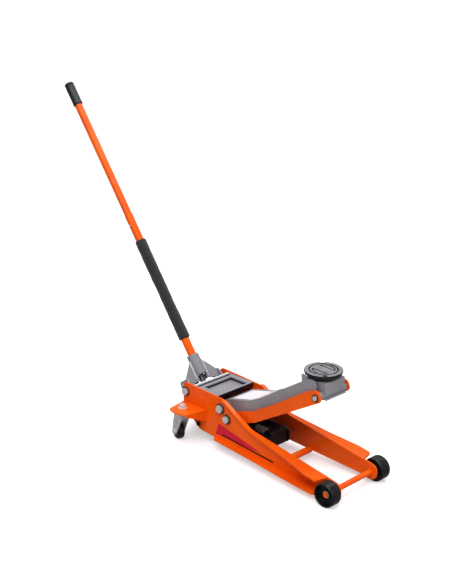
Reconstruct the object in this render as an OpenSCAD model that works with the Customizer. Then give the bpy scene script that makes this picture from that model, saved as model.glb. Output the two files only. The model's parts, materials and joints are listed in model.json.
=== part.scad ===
// Low-profile trolley jack: pressed side plates, parallelogram lift arm, level saddle,
// hydraulic ram between the plates, two swivel casters and a two-piece pump handle.
// Millimetres. X points to the nose, Y to the jack's left, Z up, floor at Z = 0.

/* [Wheels] */
// Front wheel diameter
front_wheel_d = 76; // [70:1:84]
// Front wheel width
front_wheel_w = 40; // [34:1:44]
// Rear caster wheel diameter
caster_wheel_d = 56; // [50:1:62]
// Rear caster wheel width
caster_wheel_w = 22; // [18:1:24]
// Front axle diameter
axle_d = 18; // [16:1:20]

/* [Chassis] */
// Gap between the two side plates
inner_gap = 166; // [164:1:172]
// Thickness of the side plates and their flanges
plate_t = 5; // [4:0.5:6]
// Distance from the front axle back to the handle pivot
wheelbase = 648; // [640:1:656]
// Height of the handle pivot
yoke_z = 158; // [154:1:162]
// Height of the side plates' top edge at the rear
deck_z = 188; // [184:1:192]
// Cross tube diameter
cross_tube_d = 22; // [18:1:24]

/* [Lift linkage] */
// Distance from the front axle back to the arm pivot
arm_pivot_x = 485; // [480:1:490]
// Height of the arm pivot
arm_pivot_z = 147; // [144:1:150]
// Pivot to pivot length of the arm and the link bars
arm_len = 400; // [392:1:404]
// Slope of the pivot line in the stored position
arm_rise = 27; // [24:1:30]
// Link bar pivots, ahead of the arm pivots
link_dx = 30; // [28:1:32]
// Link bar pivots, below the arm pivots
link_dz = 28; // [26:1:30]
// Overall width of the lift arm
arm_w = 120; // [116:1:122]
// Crank radius that the ram pushes on
crank_r = 72; // [68:1:74]

/* [Saddle] */
// Diameter of the saddle pad
saddle_d = 120; // [100:1:124]
// Height of the pad's face above the arm tip pivot
saddle_rise = 37; // [36:1:42]

/* [Handle] */
// Lean of the handle from vertical
handle_lean = 36.5; // [30:0.5:40]
// Length of the handle beyond its pivot
handle_len = 1167; // [900:1:1250]
// Lower tube outside diameter
lower_tube_d = 28; // [26:0.5:30]
// Upper tube outside diameter
upper_tube_d = 26; // [24.5:0.5:27]
// Foam grip diameter
grip_d = 40; // [36:1:44]

/* [Hidden] */
$fn = 48;
run = 0.05;          // radial clearance of a running fit
gap = 0.5;           // clearance between pieces that only pass each other
half_gap = inner_gap / 2;
web_y = half_gap + plate_t;
wheel_r = front_wheel_d / 2;
wheel_in = web_y + 9;
wheel_out = wheel_in + front_wheel_w;
hub_dip = 14;        // hub's outer face below the wheel's rim
caster_r = caster_wheel_d / 2;

// Overall length, so that the row's origin is the middle of its box
cap_d = 33;
yoke_pos = [-wheelbase, 0, yoke_z];
tail_x = yoke_pos[0] - handle_len * sin(handle_lean) - cap_d / 2 * cos(handle_lean);
mid_x = (wheel_r + tail_x) / 2;

// Pivots of the linkage at rest
arm_pos = [-arm_pivot_x, 0, arm_pivot_z];
link_pos = arm_pos + [link_dx, 0, -link_dz];
arm_vec = arm_len * [cos(arm_rise), 0, sin(arm_rise)];
arm_tip = arm_pos + arm_vec;
link_tip = link_pos + arm_vec;
arm_wall = 5;
bar_t = 6;
bar_in = arm_w / 2 + 3;
bar_out = bar_in + bar_t;
jog = 3.5;           // the bars' long run stands outside their front ends by this
pivot_d = 25;
tip_pin_d = 16;
link_pin_d = 16;
bracket_half = 45;
cheek_half = 52;

// Hydraulic unit
crank_angle = 6.5;   // crank, ahead of straight down
crank_pos = arm_pos + crank_r * [sin(crank_angle), 0, -cos(crank_angle)];
ram_z = 75;
head_x = -322;       // crosshead centre
head_t = 30;
drag_pin_d = 14;
tank_d = 56;
tank_x1 = -408;
ram_d = 30;
lug_in = 30.5;
lug_t = 7;
drag_in = 41;
drag_t = 6;

// Handle stations, measured from the pivot along the handle
socket_s0 = 36;
socket_s1 = 98;
seat_s = 48;
sleeve_s1 = 108;
clamp_s = 103.3;
grip_s0 = 169;
grip_s1 = 545;
joint_s = 644;
cap_s0 = 1080;
socket_d = 41;
sleeve_d = 34;
button_s = 604;

// Release linkage
spindle_lean = 40;

// Tray
tray_x0 = -622;
tray_x1 = -503;
tray_t = 4;
tray_screw_x = [-582, -527];
tray_screw_z = deck_z - 15;

// Rear tie rod, through the plates and the pump block
tie_pos = [-588, 0, 60];

// Plungers and roller, relative to the handle pivot
roller_off = [-29, 0, 10.6];
roller_d = 18;
plunger_d = 14;
plunger_y = 16;
plunger_x = yoke_pos[0] + roller_off[0];
plunger_top = yoke_z + roller_off[2] - roller_d / 2 - 1.5;
block_hw = 38;
block_top = 112;
boss_top = 124;
barrel_top = 124;

// Casters
stem = [-618, 133, 122];
trail = 31;
trail_dir = 165;     // trail at rest, from +X towards the middle of the jack
fork_out = caster_wheel_w / 2 + 5;

// ---------- helpers ----------

function unit(v) = v / norm(v);

// Points of one rounded corner at q, between its neighbours p and s
function corner(p, q, s, r, n) =
    let (u = unit(p - q), w = unit(s - q),
         half = acos(u * w) / 2,
         t = r / tan(half),
         c = q + unit(u + w) * r / sin(half),
         v0 = q + u * t - c,
         v1 = q + w * t - c,
         a0 = atan2(v0[1], v0[0]),
         sweep = (atan2(v1[1], v1[0]) - a0 + 540) % 360 - 180)
    [for (i = [0:n]) c + r * [cos(a0 + sweep * i / n), sin(a0 + sweep * i / n)]];

// Outline through [x, z, radius] points, each corner rounded by its radius
function rounded(pts, n = 6) =
    [for (i = [0:len(pts) - 1])
        let (k = len(pts), p = pts[(i + k - 1) % k], q = pts[i], s = pts[(i + 1) % k])
        each q[2] > 0
            ? corner([p[0], p[1]], [q[0], q[1]], [s[0], s[1]], q[2], n)
            : [[q[0], q[1]]]];

// Moves the front-axle frame of the dimensions above to the row's own origin
module chassis() { translate([-mid_x, 0, 0]) children(); }

// A child outline in X and Z, made solid from y0 to y1
module slab(y0, y1) { translate([0, y1, 0]) rotate([90, 0, 0]) linear_extrude(y1 - y0) children(); }

// A round bar along Y
module bar_y(d, y0, y1) { translate([0, y1, 0]) rotate([90, 0, 0]) cylinder(d = d, h = y1 - y0); }

// A round bar along X
module bar_x(d, x0, x1) { translate([x0, 0, 0]) rotate([0, 90, 0]) cylinder(d = d, h = x1 - x0); }

module both_sides() {
    children();
    mirror([0, 1, 0]) children();
}

module side(s) { mirror([0, s < 0 ? 1 : 0, 0]) children(); }

module hexagon(af, h) { cylinder(d = af / cos(30), h = h, $fn = 6); }

// A bolt head with washer, its bearing face at Y = 0, pointing to +Y
module bolt_head_y(af, head_h, washer_d, washer_t) {
    rotate([-90, 0, 0]) {
        cylinder(d = washer_d, h = washer_t);
        translate([0, 0, washer_t]) hexagon(af, head_h);
    }
}

module at_arm() { translate(arm_pos) rotate([0, -arm_rise, 0]) children(); }
module at_link() { translate(link_pos) rotate([0, -arm_rise, 0]) children(); }
module at_handle(s = 0) { translate(yoke_pos) rotate([0, -handle_lean, 0]) translate([0, 0, s]) children(); }
module at_spindle() { translate(yoke_pos) rotate([0, -spindle_lean, 0]) children(); }

// ---------- side plates ----------

module web_outline() {
    nose_r = 25;
    polygon(rounded([
        [-662, deck_z + 2, 14], [-628, deck_z + 1, 30], [-500, deck_z - 4, 60],
        [-464, deck_z - 6, 26], [-345, 118, 60], [-26, 71, 12], [nose_r, wheel_r + nose_r, nose_r - 1],
        [nose_r, wheel_r - nose_r, nose_r - 1], [-6, wheel_r - nose_r, 10], [-44, 20, 20],
        [-508, 36, 40], [-584, 42, 13], [-662, 106, 20]]));
}

// Width of the flanges seen from above, outwards from the web
module top_flange_plan() {
    polygon(rounded([[-476, web_y - 2, 0], [-470, web_y + 9, 5], [-350, web_y + 11, 60],
                     [-190, web_y + 27, 80], [-86, web_y + 44, 30], [-38, web_y + 44, 10],
                     [-28, web_y - 2, 0]]));
}

module bottom_flange_plan() {
    polygon(rounded([[-512, web_y - 2, 0], [-500, web_y + 18, 8], [-330, web_y + 27, 90],
                     [-120, web_y + 42, 60], [-46, web_y + 44, 10], [-44, web_y - 2, 0]]));
}

module side_plate() {
    difference() {
        union() {
            slab(half_gap, web_y) web_outline();
            intersection() {
                slab(web_y - 1, web_y + 60) difference() {
                    web_outline();
                    translate([0, -plate_t]) web_outline();
                }
                translate([0, 0, 60]) linear_extrude(200) top_flange_plan();
            }
            intersection() {
                slab(web_y - 1, web_y + 60) difference() {
                    web_outline();
                    translate([0, plate_t]) web_outline();
                }
                linear_extrude(48) bottom_flange_plan();
            }
            translate(arm_pos) bar_y(44, half_gap - 3, half_gap + 1);
        }
        translate([0, 0, wheel_r]) bar_y(axle_d, 0, 200);
        translate(arm_pos) bar_y(pivot_d, 0, 200);
        translate(link_pos) bar_y(link_pin_d, 0, 200);
        translate(yoke_pos) bar_y(16, 0, 200);
        translate([tie_pos[0], 0, tie_pos[2]]) bar_y(12, 0, 200);
        for (x = tray_screw_x) translate([x, 0, tray_screw_z]) bar_y(5, 0, 200);
    }
}

module right_side_plate() { color("orangered") chassis() side(-1) side_plate(); }
module left_side_plate() { color("orangered") chassis() side(1) side_plate(); }

// Horizontal shelf beside the rear of each plate, on a triangular front gusset
module caster_bracket() {
    top_z = stem[2];
    difference() {
        union() {
            translate([0, 0, top_z - plate_t]) linear_extrude(plate_t)
                polygon(rounded([[-550, web_y, 0], [-566, 166, 12], [-606, 179, 40], [-644, 169, 10],
                                 [-658, web_y, 0]]));
            intersection() {
                translate([0, 0, 60]) linear_extrude(top_z - 60)
                    polygon([[-550, web_y], [-566, 166], [-571, 165], [-555, web_y]]);
                translate([-600, 0, 0]) rotate([90, 0, 90]) linear_extrude(60)
                    polygon([[web_y, 80], [165, 113], [170, 130], [web_y, 130]]);
            }
            translate([-656, web_y, 94]) cube([5, 12, top_z - 96]);
        }
        translate([stem[0], stem[1], 0]) cylinder(d = 13, h = 200);
    }
}

module right_caster_bracket() { color("orangered") chassis() side(-1) caster_bracket(); }
module left_caster_bracket() { color("orangered") chassis() side(1) caster_bracket(); }

// ---------- cross members ----------

module front_axle() {
    color("orangered") chassis() translate([0, 0, wheel_r]) bar_y(axle_d, -wheel_out + 9, wheel_out - 9);
}

module cross_tube() {
    color("orangered") chassis() translate([-246, 0, 28]) difference() {
        bar_y(cross_tube_d, -half_gap, half_gap);
        bar_y(cross_tube_d - 6, -half_gap - 1, half_gap + 1);
    }
}

module rear_tie_rod() {
    color("dimgray") chassis() translate(tie_pos) {
        bar_y(12, -web_y - 1, web_y + 1);
        both_sides() bar_y(15, web_y, web_y + 5);
        both_sides() bar_y(20, half_gap - 6, half_gap);
    }
}

// ---------- tool tray ----------

module tool_tray() {
    floor_z = deck_z - 15;
    len_x = tray_x1 - tray_x0;
    tray_hw = half_gap - gap;
    color("gray") chassis() difference() {
        union() {
            translate([tray_x0, -tray_hw, deck_z - 4 - tray_t]) cube([len_x, 2 * tray_hw, tray_t]);
            translate([tray_x0, 0, deck_z - 7.5]) bar_y(7, -tray_hw, tray_hw);
            translate([tray_x0 - 3.5, -tray_hw, deck_z - 22]) cube([3, 2 * tray_hw, 15]);
            translate([tray_x1 - 4, -tray_hw, deck_z - 18]) cube([4, 2 * tray_hw, 14]);
            translate([-591, -66, floor_z - 3]) cube([83, 132, deck_z - 4 - floor_z + 2.5]);
            both_sides() translate([-604, tray_hw - 4, deck_z - 26]) cube([90, 4, 22]);
        }
        translate([-588, -62, floor_z]) cube([76, 124, 30]);
        translate([-609, -74, deck_z - 6]) cube([9, 148, 10]);
        both_sides() for (x = tray_screw_x) translate([x, 0, tray_screw_z]) bar_y(5, 70, 200);
    }
}

module tray_screws() {
    color("orangered") chassis() both_sides() for (x = tray_screw_x)
        translate([x, 0, tray_screw_z]) {
            bar_y(5, half_gap - 4, web_y);
            translate([0, web_y, 0]) rotate([-90, 0, 0]) cylinder(d1 = 9, d2 = 6, h = 2.5);
        }
}

// ---------- pivots on the side plates ----------

module arm_pivot_shaft() {
    color("silver") chassis() translate(arm_pos) bar_y(pivot_d - 2 * run, -web_y, web_y);
}

module arm_pivot_nuts() {
    color("silver") chassis() both_sides() translate(arm_pos + [0, web_y, 0])
        bolt_head_y(24, 7, 36, 2.5);
}

module link_bolts() {
    color("silver") chassis() both_sides() translate(link_pos) {
        bar_y(link_pin_d - 2 * run, bar_in + 1, web_y);
        bar_y(24, bar_out + jog + gap, half_gap);
        translate([0, web_y, 0]) bolt_head_y(22, 8, 34, 2.5);
    }
}

module yoke_bolts() {
    color("silver") chassis() both_sides() translate(yoke_pos) {
        bar_y(16 - 2 * run, 67, web_y);
        bar_y(24, 75 + gap, half_gap);
        translate([0, web_y, 0]) bolt_head_y(22, 8, 32, 2.5);
    }
}

// ---------- front wheels ----------

module front_wheel() {
    r = wheel_r;
    w = front_wheel_w;
    translate([0, wheel_in, r]) rotate([-90, 0, 0]) rotate_extrude($fn = 96)
        polygon([[axle_d / 2 + run, 0], [16, 0], [18, 3], [r - 6, 3], [r - 4, 0], [r - 1.5, 1],
                 [r, 4], [r, w - 4], [r - 1.5, w - 1], [r - 3.5, w], [r - 5.5, w - 1],
                 [r - 7.5, w - 17], [15, w - 18], [14, w - hub_dip], [axle_d / 2 + run, w - hub_dip]]);
}

module right_front_wheel() { color("#222222") chassis() side(-1) front_wheel(); }
module left_front_wheel() { color("#222222") chassis() side(1) front_wheel(); }

module wheel_spacers() {
    color("silver") chassis() both_sides() translate([0, 0, wheel_r]) difference() {
        bar_y(26, web_y, wheel_in - 0.4);
        bar_y(axle_d, 0, 200);
    }
}

module axle_clips() {
    color("silver") chassis() both_sides() translate([0, 0, wheel_r]) difference() {
        bar_y(22, wheel_out - hub_dip + 0.5, wheel_out - hub_dip + 1.7);
        bar_y(axle_d, 0, 200);
    }
}

// ---------- casters ----------

// Frame of the left caster: stem on Z, wheel axle along Y, trail along X
module at_caster() { translate([stem[0], stem[1], 0]) rotate([0, 0, -trail_dir]) children(); }

module caster_fork() {
    crown_z = stem[2] - plate_t - 8;
    at_caster() difference() {
        union() {
            translate([0, 0, crown_z - 3]) cylinder(d = 44, h = 3);
            translate([-14, -fork_out, crown_z - 3]) cube([38, 2 * fork_out, 3]);
            both_sides() slab(fork_out - 3, fork_out)
                polygon(rounded([[-20, crown_z, 6], [24, crown_z, 6], [trail + 13, caster_r + 24, 24],
                                 [trail + 11, caster_r - 11, 10], [trail - 9, caster_r - 11, 8],
                                 [-16, crown_z - 24, 16]]));
        }
        translate([trail, 0, caster_r]) bar_y(8, -100, 100);
        translate([0, 0, crown_z - 10]) cylinder(d = 12, h = 30);
    }
}

module caster_wheel() {
    r = caster_r;
    w = caster_wheel_w / 2;
    at_caster() translate([trail, 0, r]) rotate([-90, 0, 0]) rotate_extrude($fn = 72)
        polygon([[4 + run, -w - 1.6], [8, -w - 1.6], [9, -w + 2], [r - 7, -w + 2], [r - 5, -w], [r - 2, -w + 1],
                 [r, -w + 5], [r, w - 5], [r - 2, w - 1], [r - 5, w], [r - 7, w - 2], [9, w - 2],
                 [8, w + 1.6], [4 + run, w + 1.6]]);
}

module caster_axle() {
    at_caster() translate([trail, 0, caster_r]) {
        bar_y(8, -fork_out, fork_out);
        both_sides() translate([0, fork_out, 0]) rotate([-90, 0, 0]) hexagon(13, 5);
    }
}

module right_caster_fork() { color("silver") chassis() side(-1) caster_fork(); }
module left_caster_fork() { color("silver") chassis() side(1) caster_fork(); }
module right_caster_wheel() { color("#222222") chassis() side(-1) caster_wheel(); }
module left_caster_wheel() { color("#222222") chassis() side(1) caster_wheel(); }
module caster_axles_right() { color("silver") chassis() side(-1) caster_axle(); }
module caster_axles_left() { color("silver") chassis() side(1) caster_axle(); }

// Ball race housings, screwed under the brackets
module caster_races() {
    color("silver") chassis() both_sides() translate([stem[0], stem[1], stem[2] - plate_t - 7.6])
        difference() {
            cylinder(d = 44, h = 7.6);
            translate([0, 0, -1]) cylinder(d = 12, h = 10);
        }
}

module caster_nuts() {
    color("silver") chassis() both_sides() translate([stem[0], stem[1], stem[2]]) {
        cylinder(d = 30, h = 2.5);
        translate([0, 0, 2.5]) hexagon(19, 9);
        translate([0, 0, -24]) cylinder(d = 12 - 2 * run, h = 38);
        translate([0, 0, -26]) cylinder(d = 20, h = 9.5);
    }
}

// ---------- hydraulic unit ----------

module pump_block() {
    spindle_hole_d = 14 + 2 * run;
    color("#3a3a3e") chassis() difference() {
        union() {
            slab(-block_hw, block_hw) polygon(rounded([
                [-700, 48, 8], [-548, 44, 8], [-548, 106, 8], [-592, block_top, 6],
                [-604, boss_top, 4], [-642, boss_top, 4], [-650, block_top, 6], [-700, block_top, 8]]));
            translate([0, 0, ram_z]) bar_x(tank_d + 4, -556, -536);
        }
        for (y = [-plunger_y, plunger_y])
            translate([plunger_x, y, 64]) cylinder(d = plunger_d + 2 * run, h = 100);
        at_spindle() translate([0, 0, -90]) cylinder(d = spindle_hole_d, h = 90);
        translate([0, 0, ram_z]) bar_x(tank_d, -544, -500);
        translate(tie_pos) bar_y(12.4, -100, 100);
    }
}

module tank_tube() {
    color("#303034") chassis() translate([0, 0, ram_z]) difference() {
        bar_x(tank_d, -544, tank_x1);
        bar_x(tank_d - 8, -540, tank_x1 + 1);
    }
}

module gland_nut() {
    color("#303034") chassis() translate([0, 0, ram_z]) difference() {
        union() {
            bar_x(tank_d - 8, tank_x1 - 18, tank_x1);
            bar_x(tank_d - 2, tank_x1, tank_x1 + 8);
        }
        bar_x(ram_d, tank_x1 - 30, tank_x1 + 20);
    }
}

module pump_barrels() {
    color("silver") chassis() for (y = [-plunger_y, plunger_y])
        translate([plunger_x, y, block_top]) difference() {
            hexagon(24, barrel_top - block_top);
            translate([0, 0, -1]) cylinder(d = plunger_d + 2 * run, h = 40);
        }
}

module block_plugs() {
    color("silver") chassis() {
        for (y = [-26, 26]) translate([-624, y, boss_top]) {
            cylinder(d = 18, h = 3);
            translate([0, 0, 3]) hexagon(13, 7);
        }
        both_sides() for (x = [-682, -604]) translate([x, block_hw, 84])
            rotate([-90, 0, 0]) hexagon(15, 6);
    }
}

module block_spacers() {
    color("dimgray") chassis() both_sides() for (p = [[-562, 66], [-628, 94]])
        translate([p[0], 0, p[1]]) bar_y(18, block_hw, half_gap);
}

module pump_plungers() {
    color("silver") chassis() for (y = [-plunger_y, plunger_y]) translate([plunger_x, y, 0]) {
        translate([0, 0, 88]) cylinder(d = plunger_d, h = plunger_top - 88);
        translate([0, 0, plunger_top - 5]) cylinder(d = 20, h = 5);
    }
}

module plunger_springs() {
    turns = 4;
    h = plunger_top - 5 - barrel_top;
    color("silver") chassis() for (y = [-plunger_y, plunger_y]) translate([plunger_x, y, barrel_top])
        for (i = [0:turns - 1]) translate([0, 0, h * (i + 0.5) / turns])
            rotate_extrude() translate([8.6, 0]) circle(d = 2);
}

module ram_rod() {
    color("silver") chassis() translate([0, 0, ram_z]) {
        bar_x(ram_d - 2 * run, -476, head_x - head_t / 2);
        bar_x(tank_d - 8 - 2 * run, -488, -476);
    }
}

module ram_crosshead() {
    half = 37.5;
    color("#1c1c1f") chassis() difference() {
        slab(-half, half) polygon(rounded([
            [head_x - head_t / 2, ram_z - 28, 6], [head_x + head_t / 2, ram_z - 28, 6],
            [head_x + head_t / 2, ram_z + 28, 8], [head_x - head_t / 2, ram_z + 28, 6]]));
        slab(-half - 1, half + 1) translate([head_x, 0]) polygon(rounded([
            [-11, ram_z - 9, 7], [11, ram_z - 9, 7], [11, ram_z + 21.5, 7], [-11, ram_z + 21.5, 7]]));
    }
}

// Two straps that join the crank to the crosshead pin
module drag_links() {
    color("#1c1c1f") chassis() both_sides() difference() {
        slab(drag_in, drag_in + drag_t) polygon(rounded([
            [crank_pos[0] - 19, crank_pos[2] - 19, 18], [head_x + 4, crank_pos[2] - 30, 10],
            [head_x + 19, crank_pos[2] - 26, 12], [head_x + 19, crank_pos[2] + 19, 16],
            [crank_pos[0] - 19, crank_pos[2] + 19, 18]]));
        translate(crank_pos) bar_y(16, 0, 200);
        translate([head_x, 0, crank_pos[2]]) bar_y(drag_pin_d, 0, 200);
    }
}

module drag_pin() {
    color("dimgray") chassis() translate([head_x, 0, crank_pos[2]]) {
        bar_y(drag_pin_d, -drag_in - drag_t - 2, drag_in + drag_t + 2);
    }
}

// ---------- lift arm ----------

// Outline of the arm's side, along the pivot line
module arm_outline() {
    polygon(rounded([[-18, -14, 12], [-18, 12, 12], [8, 23, 12], [112, 0, 40], [160, -1, 60],
                     [366, 18, 6], [404, 20, 14], [arm_len + 22, 14, 18], [arm_len + 22, -22, 20],
                     [arm_len - 24, -23, 18], [140, -36, 60], [100, -34, 60], [10, -20, 10]]));
}

module lift_arm() {
    half = arm_w / 2;
    color("gray") chassis() at_arm() difference() {
        union() {
            both_sides() slab(half - arm_wall, half) arm_outline();
            intersection() {
                slab(-half + 1, half - 1) difference() {
                    arm_outline();
                    translate([0, -arm_wall]) arm_outline();
                }
                translate([14, -half, -20]) cube([arm_len - 84, 2 * half, 60]);
            }
        }
        bar_y(pivot_d, -100, 100);
        translate([arm_len, 0, 0]) bar_y(tip_pin_d, -100, 100);
    }
}

// Hub tube on the pivot shaft, with the two crank lugs and their pins
module arm_crank() {
    color("gray") chassis() difference() {
        union() {
            translate(arm_pos) bar_y(42, -arm_w / 2 + arm_wall, arm_w / 2 - arm_wall);
            both_sides() slab(lug_in, lug_in + lug_t) polygon(rounded([
                [arm_pos[0] - 24, arm_pos[2] - 4, 8], [crank_pos[0] - 16, crank_pos[2] - 15, 14],
                [crank_pos[0] + 17, crank_pos[2] - 15, 14], [arm_pos[0] + 24, arm_pos[2] + 2, 8]]));
            both_sides() translate(crank_pos) bar_y(16 - 2 * run, lug_in + 1, drag_in + drag_t + 1);
        }
        translate(arm_pos) bar_y(pivot_d, -100, 100);
    }
}

// ---------- link bars ----------

module bar_outline() {
    polygon(rounded([[-20, -19, 18], [60, -28, 40], [112, -32, 60], [arm_len - 6, -17, 8],
                     [arm_len + 19, -17, 16], [arm_len + 19, 22, 18], [arm_len - 30, 26, 20],
                     [206, 10, 60], [110, 5, 60], [20, 18, 20], [-20, 18, 18]]));
}

module link_bar() {
    at_link() difference() {
        intersection() {
            slab(bar_in - 1, bar_out + jog + 1) bar_outline();
            translate([0, 0, -60]) linear_extrude(120)
                polygon([[-40, bar_in + jog], [arm_len - 36, bar_in + jog], [arm_len - 24, bar_in],
                         [arm_len + 40, bar_in], [arm_len + 40, bar_out], [arm_len - 23, bar_out],
                         [arm_len - 35, bar_out + jog], [-40, bar_out + jog]]);
        }
        bar_y(link_pin_d, 0, 200);
        translate([arm_len, 0, 0]) bar_y(tip_pin_d, 0, 200);
    }
}

module right_link_bar() { color("orangered") chassis() side(-1) link_bar(); }
module left_link_bar() { color("orangered") chassis() side(1) link_bar(); }

// ---------- saddle ----------

cup_h = 18;
pad_z = arm_tip[2] + saddle_rise;
cup_z = pad_z - 3 - cup_h;
front_x = arm_tip[0] + 47;

module saddle_bracket() {
    top = cup_z - 1;
    color("gray") chassis() difference() {
        union() {
            slab(-bracket_half, bracket_half) polygon(rounded([
                [arm_tip[0] - 36, arm_tip[2] - 16, 10], [link_tip[0] - 16, link_tip[2] - 14, 8],
                [front_x, link_tip[2] - 9, 6], [front_x, top, 4], [arm_tip[0] - 36, top, 8]]));
            both_sides() slab(bracket_half, cheek_half) polygon(rounded([
                [arm_tip[0] - 38, arm_tip[2] - 14, 10], [arm_tip[0] + 10, arm_tip[2] - 22, 12],
                [arm_tip[0] + 12, top, 6], [arm_tip[0] - 13, top, 4],
                [arm_tip[0] - 38, top + 9, 2], [arm_tip[0] - 44, top + 9, 2]]));
            translate([front_x - 2, -bracket_half, link_tip[2] - 9]) cube([8, 2 * bracket_half, 4]);
        }
        slab(-bracket_half + 8, bracket_half - 8) polygon([
            [arm_tip[0] - 60, arm_tip[2] - 40], [link_tip[0] - 30, arm_tip[2] - 60],
            [front_x - 14, link_tip[2] - 30], [front_x - 10, top - 12], [arm_tip[0] - 60, top - 12]]);
        // groove along the front face, over the lip
        translate([front_x - 3, -bracket_half - 1, link_tip[2] - 4]) cube([10, 2 * bracket_half + 2, 3]);
        translate(arm_tip) bar_y(tip_pin_d, -100, 100);
        translate(link_tip) bar_y(tip_pin_d, -100, 100);
        translate([arm_tip[0], 0, top - 40]) cylinder(d = 26 + 2 * run, h = 60);
    }
    color("gray") chassis() translate(link_tip) difference() {
        bar_y(26, -bar_in + gap, bar_in - gap);
        bar_y(tip_pin_d, -100, 100);
    }
}

module arm_tip_pin() {
    color("silver") chassis() translate(arm_tip)
        bar_y(tip_pin_d - 2 * run, -arm_w / 2 + 0.3, arm_w / 2 - 0.3);
}

module link_tip_pins() {
    color("silver") chassis() both_sides() translate(link_tip) {
        bar_y(tip_pin_d - 2 * run, bracket_half - 6, bar_out + 4.5);
    }
}

module link_tip_clips() {
    color("dimgray") chassis() both_sides() translate(link_tip) difference() {
        bar_y(24, bar_out + gap, bar_out + 2.3);
        bar_y(tip_pin_d - 2 * run, 0, 100);
    }
}

module saddle_cup() {
    r = saddle_d / 2 - 1;
    color("#222222") chassis() translate([arm_tip[0], 0, cup_z]) {
        rotate_extrude($fn = 96) polygon([
            [0, 0], [r - 16, 0], [r - 9, 4], [r - 2, 10], [r, 14], [r, cup_h], [r - 7, cup_h],
            [r - 7, cup_h - 5], [0, cup_h - 5]]);
        translate([0, 0, -6.5]) cylinder(d = 26, h = 7);
    }
}

module saddle_pad() {
    r = saddle_d / 2;
    color("gray") chassis() translate([arm_tip[0], 0, pad_z - 8]) union() {
        rotate_extrude($fn = 96) polygon([
            [0, 0], [r - 8.2, 0], [r - 8.2, 5], [r, 5], [r, 6.5], [r - 1.5, 8], [r - 10, 8],
            [r - 12, 5.5], [r - 16, 5.5], [r - 18, 8], [r - 23, 8], [r - 25, 5.5], [0, 5.5]]);
        translate([-34, -12, 5]) cube([68, 24, 3]);
        for (i = [-2:2]) both_sides() translate([i * 11 - 1.5, 15, 5])
            cube([3, sqrt(max(0, 33 * 33 - i * i * 121)) - 14, 2]);
    }
}

// ---------- handle ----------

module handle_yoke() {
    wing_in = 69;
    wing_out = 75;
    top_hw = 19;
    color("gray") chassis() difference() {
        union() {
            at_handle(socket_s0) cylinder(d = socket_d, h = socket_s1 - socket_s0);
            // flared front plate, folded from the socket out to the two cheeks
            at_handle() translate([-3, 0, 0]) rotate([90, 0, 90]) linear_extrude(6)
                polygon([[-top_hw, 92], [top_hw, 92], [wing_out, 30], [wing_out, 12], [wing_in - 6, 12],
                         [58, 10], [26, 17], [-26, 17], [-58, 10], [-wing_in + 6, 12],
                         [-wing_out, 12], [-wing_out, 30]]);
            both_sides() at_handle() slab(wing_in, wing_out)
                polygon(rounded([[-17, -14, 14], [17, -14, 14], [17, 8, 8], [9, 36, 8],
                                 [-30, 38, 8], [-34, 4, 10]]));
        }
        at_handle(-20) cylinder(d = sleeve_d + 2 * run, h = 200);
        translate(yoke_pos) bar_y(16, -100, 100);
        translate(yoke_pos + roller_off) bar_y(8, -100, 100);
    }
}

module pump_roller() {
    color("#222222") chassis() translate(yoke_pos + roller_off) difference() {
        bar_y(roller_d, -30, 30);
        bar_y(8 + 2 * run, -40, 40);
    }
}

module roller_pin() {
    color("silver") chassis() translate(yoke_pos + roller_off) {
        bar_y(8, -77, 77);
    }
}

module handle_sleeve() {
    tang_in = 4.2;
    color("dimgray") chassis() at_handle() difference() {
        union() {
            translate([0, 0, socket_s0 + 2]) cylinder(d = sleeve_d, h = sleeve_s1 - socket_s0 - 2);
            translate([0, 0, socket_s1 + gap]) cylinder(d = socket_d, h = sleeve_s1 - socket_s1 - gap);
            both_sides() intersection() {
                translate([-5, tang_in, -3]) cube([10, 10, socket_s0 + 7]);
                translate([0, 0, -3]) cylinder(d = 15, h = 60);
            }
        }
        translate([0, 0, seat_s]) cylinder(d = lower_tube_d + 0.4, h = 200);
        translate([0, 0, clamp_s]) rotate([0, -90, 0]) cylinder(d = 6, h = socket_d);
    }
}

module clamp_screw() {
    color("silver") chassis() at_handle(clamp_s) rotate([0, -90, 0]) {
        translate([0, 0, 14.5]) cylinder(d = 6, h = 8);
        translate([0, 0, socket_d / 2 + 0.3]) hexagon(8, 5);
    }
}

module handle_lower_tube() {
    color("orangered") chassis() at_handle() difference() {
        translate([0, 0, seat_s]) cylinder(d = lower_tube_d, h = joint_s - seat_s);
        translate([0, 0, seat_s - 1]) cylinder(d = lower_tube_d - 4, h = joint_s);
        translate([0, 0, button_s]) rotate([90, 0, 0]) cylinder(d = 8, h = 30);
    }
}

module handle_upper_tube() {
    insert_s = joint_s - 90;
    color("orangered") chassis() at_handle() difference() {
        union() {
            translate([0, 0, joint_s]) cylinder(d = upper_tube_d, h = cap_s0 + 60 - joint_s);
            translate([0, 0, insert_s]) cylinder(d = lower_tube_d - 4.2, h = joint_s - insert_s + 1);
        }
        translate([0, 0, insert_s - 1]) cylinder(d = lower_tube_d - 8, h = handle_len);
        translate([0, 0, button_s]) rotate([90, 0, 0]) cylinder(d = 8, h = 30);
    }
}

module foam_grip() {
    color("#2b2b2e") chassis() at_handle() difference() {
        union() {
            translate([0, 0, grip_s0 + 4]) cylinder(d = grip_d, h = grip_s1 - grip_s0 - 8);
            translate([0, 0, grip_s0]) cylinder(d = grip_d - 5, h = grip_s1 - grip_s0);
        }
        translate([0, 0, grip_s0 - 1]) cylinder(d = lower_tube_d, h = 500);
    }
}

module end_cap() {
    color("#2b2b2e") chassis() at_handle() rotate_extrude($fn = 64) polygon([
        [0, handle_len - 22], [upper_tube_d / 2, handle_len - 22], [upper_tube_d / 2, cap_s0],
        [cap_d / 2 - 1, cap_s0], [cap_d / 2, cap_s0 + 2], [cap_d / 2, handle_len - 1],
        [cap_d / 2 - 1, handle_len], [0, handle_len]]);
}

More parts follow.
